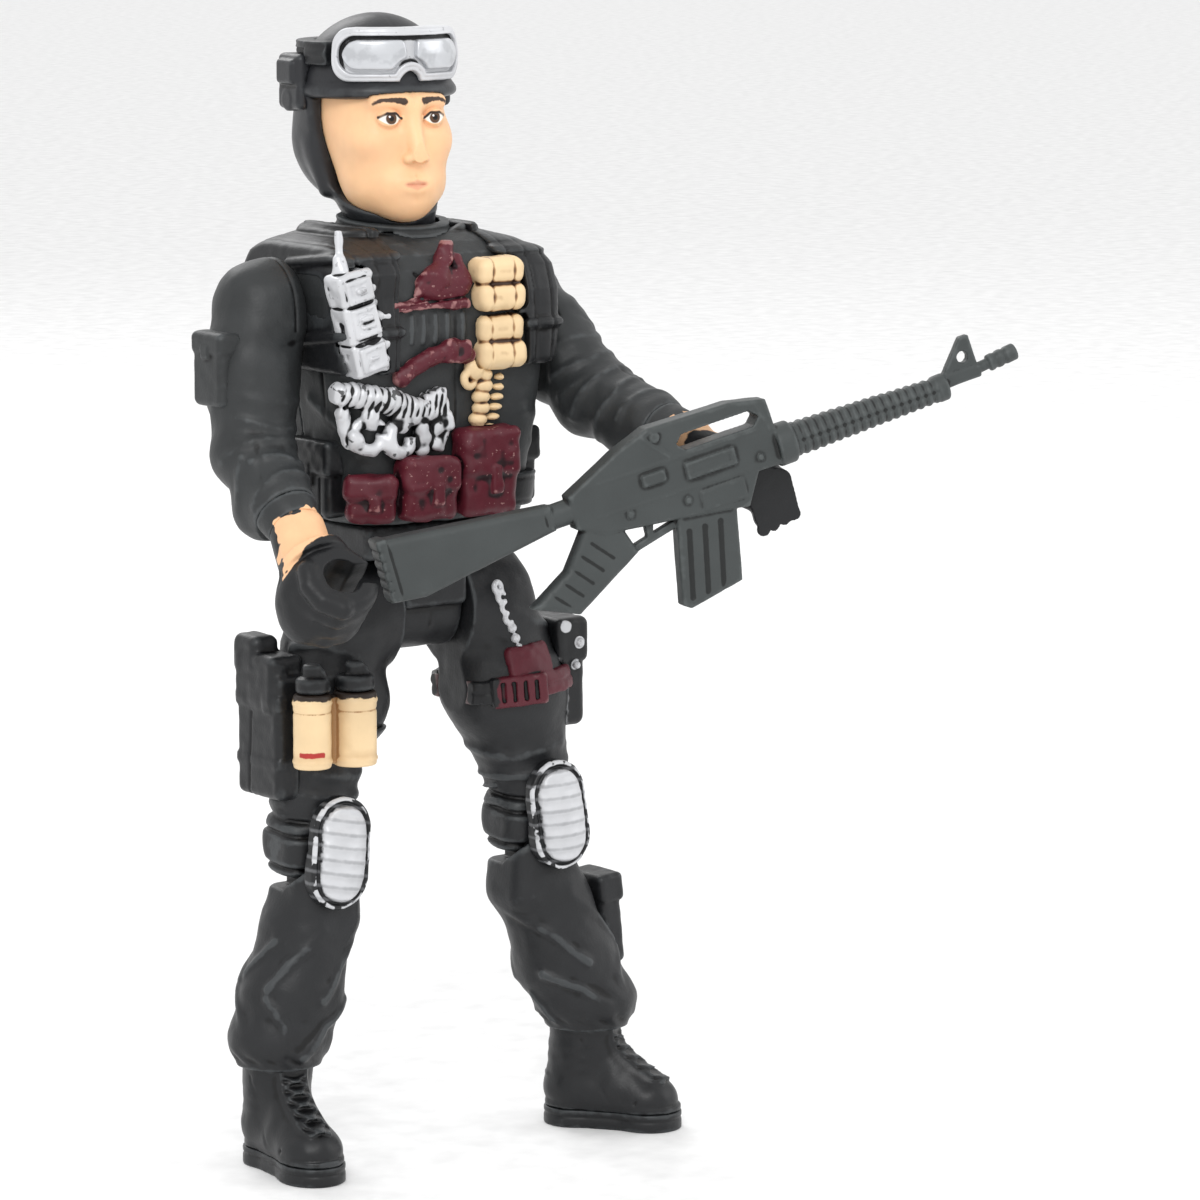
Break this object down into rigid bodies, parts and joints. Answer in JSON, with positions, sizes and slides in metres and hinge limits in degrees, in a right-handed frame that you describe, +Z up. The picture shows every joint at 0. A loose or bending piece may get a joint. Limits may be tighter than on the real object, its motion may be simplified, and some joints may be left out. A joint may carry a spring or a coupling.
{
  "type": "action figure",
  "caption": "Articulated toy soldier in dark tactical dress with hood, goggles, pouches and knee pads, holding a lift-out toy rifle.",
  "frame": {"origin": "mouth of the peg hole in the right foot's sole, on the ground", "axes": "+Z up, the figure faces -Y, its left hand side is +X"},
  "size_m": [0.0633, 0.0423, 0.098],
  "materials": {
    "skin_vinyl": "soft matte vinyl, painted skin tone",
    "charcoal_cloth": "moulded cloth folds in satin charcoal plastic",
    "black_gear": "satin black plastic",
    "burgundy_paint": "semi-gloss burgundy paint",
    "tan_paint": "matte tan paint with dark recesses",
    "silver_paint": "silver paint over black, worn in the grooves",
    "goggle_lens": "glossy silver paint",
    "gunmetal_plastic": "grey-green self-coloured plastic, slight sheen",
    "pin_steel": "plain steel"
  },
  "bodies": {
    "pelvis": {"pelvis_block": "charcoal_cloth", "waist_post": "black_gear", "hip_pin": "pin_steel"},
    "torso": {"torso_front": "charcoal_cloth", "torso_back": "charcoal_cloth", "torso_screw": "pin_steel", "neck_post": "black_gear", "collar": "black_gear", "shoulder_straps": "black_gear", "chest_radio": "silver_paint", "belly_gear": "silver_paint", "upper_chest_strap": "burgundy_paint", "lower_chest_strap": "burgundy_paint", "chest_pouches": "tan_paint", "tan_cord_bundle": "tan_paint", "belt": "black_gear", "belt_pouches": "burgundy_paint", "side_pouches": "black_gear"},
    "head": {"face": "skin_vinyl", "hood": "black_gear", "ear_cups": "black_gear", "goggle_frame": "silver_paint", "goggle_lens": "goggle_lens", "goggle_strap": "charcoal_cloth"},
    "right_arm": {"right_sleeve": "charcoal_cloth", "sleeve_pocket": "charcoal_cloth", "right_wrist": "skin_vinyl", "right_shoulder_peg": "pin_steel"},
    "left_arm": {"left_sleeve": "charcoal_cloth", "left_wrist": "skin_vinyl", "left_shoulder_peg": "pin_steel"},
    "right_hand": {"right_glove": "black_gear"},
    "left_hand": {"left_glove": "black_gear"},
    "rifle": {"rifle": "gunmetal_plastic"},
    "right_leg": {"right_thigh": "charcoal_cloth", "holster": "black_gear", "canisters": "tan_paint", "canister_caps": "black_gear", "right_thigh_strap": "black_gear", "right_knee_pin": "pin_steel"},
    "left_leg": {"left_thigh": "charcoal_cloth", "left_thigh_strap": "burgundy_paint", "thigh_pouch": "black_gear", "hip_chain": "silver_paint", "left_knee_pin": "pin_steel"},
    "right_shin": {"right_calf": "charcoal_cloth", "right_knee_pad": "silver_paint", "right_boot": "black_gear", "right_sole": "black_gear"},
    "left_shin": {"left_calf": "charcoal_cloth", "left_knee_pad": "silver_paint", "calf_pouch": "charcoal_cloth", "left_boot": "black_gear", "left_sole": "black_gear"}
  },
  "joints": [
    {"name": "waist_swivel", "type": "hinge", "parent": "pelvis", "child": "torso", "pos_m": [0.01461, 0.00339, 0.055], "axis": [0, 0, 1], "range_deg": [0, 25]},
    {"name": "neck_swivel", "type": "hinge", "parent": "torso", "child": "head", "pos_m": [0.01461, 0.00569, 0.082], "axis": [0, 0, 1], "range_deg": [-70, 70]},
    {"name": "right_shoulder", "type": "hinge", "parent": "torso", "child": "right_arm", "pos_m": [-0.00039, 0.00499, 0.0745], "axis": [-1, 0, 0], "range_deg": [0, 120]},
    {"name": "left_shoulder", "type": "hinge", "parent": "torso", "child": "left_arm", "pos_m": [0.02961, 0.00499, 0.0745], "axis": [-1, 0, 0], "range_deg": [0, 80]},
    {"name": "right_wrist_swivel", "type": "hinge", "parent": "right_arm", "child": "right_hand", "pos_m": [-0.00229, -0.00481, 0.0564], "axis": [-0.0334, -0.7804, -0.6243], "range_deg": [0, 30]},
    {"name": "left_wrist_swivel", "type": "hinge", "parent": "left_arm", "child": "left_hand", "pos_m": [0.03111, -0.01391, 0.0622], "axis": [0.1021, -0.9615, -0.2553], "range_deg": [0, 12]},
    {"name": "rifle_lift_out", "type": "slide", "parent": "left_hand", "child": "rifle", "axis": [0, 0, -1], "range_m": [-0.02, 0]},
    {"name": "right_hip", "type": "hinge", "parent": "pelvis", "child": "right_leg", "pos_m": [0.00701, 0.00339, 0.0472], "axis": [-1, 0, 0], "range_deg": [-25, 35]},
    {"name": "left_hip", "type": "hinge", "parent": "pelvis", "child": "left_leg", "pos_m": [0.02221, 0.00339, 0.0472], "axis": [-1, 0, 0], "range_deg": [-25, 45]},
    {"name": "right_knee", "type": "hinge", "parent": "right_leg", "child": "right_shin", "pos_m": [0.00361, 0.00209, 0.028], "axis": [1, 0, 0], "range_deg": [0, 85]},
    {"name": "left_knee", "type": "hinge", "parent": "left_leg", "child": "left_shin", "pos_m": [0.02561, 0.00099, 0.028], "axis": [1, 0, 0], "range_deg": [0, 85]}
  ]
}
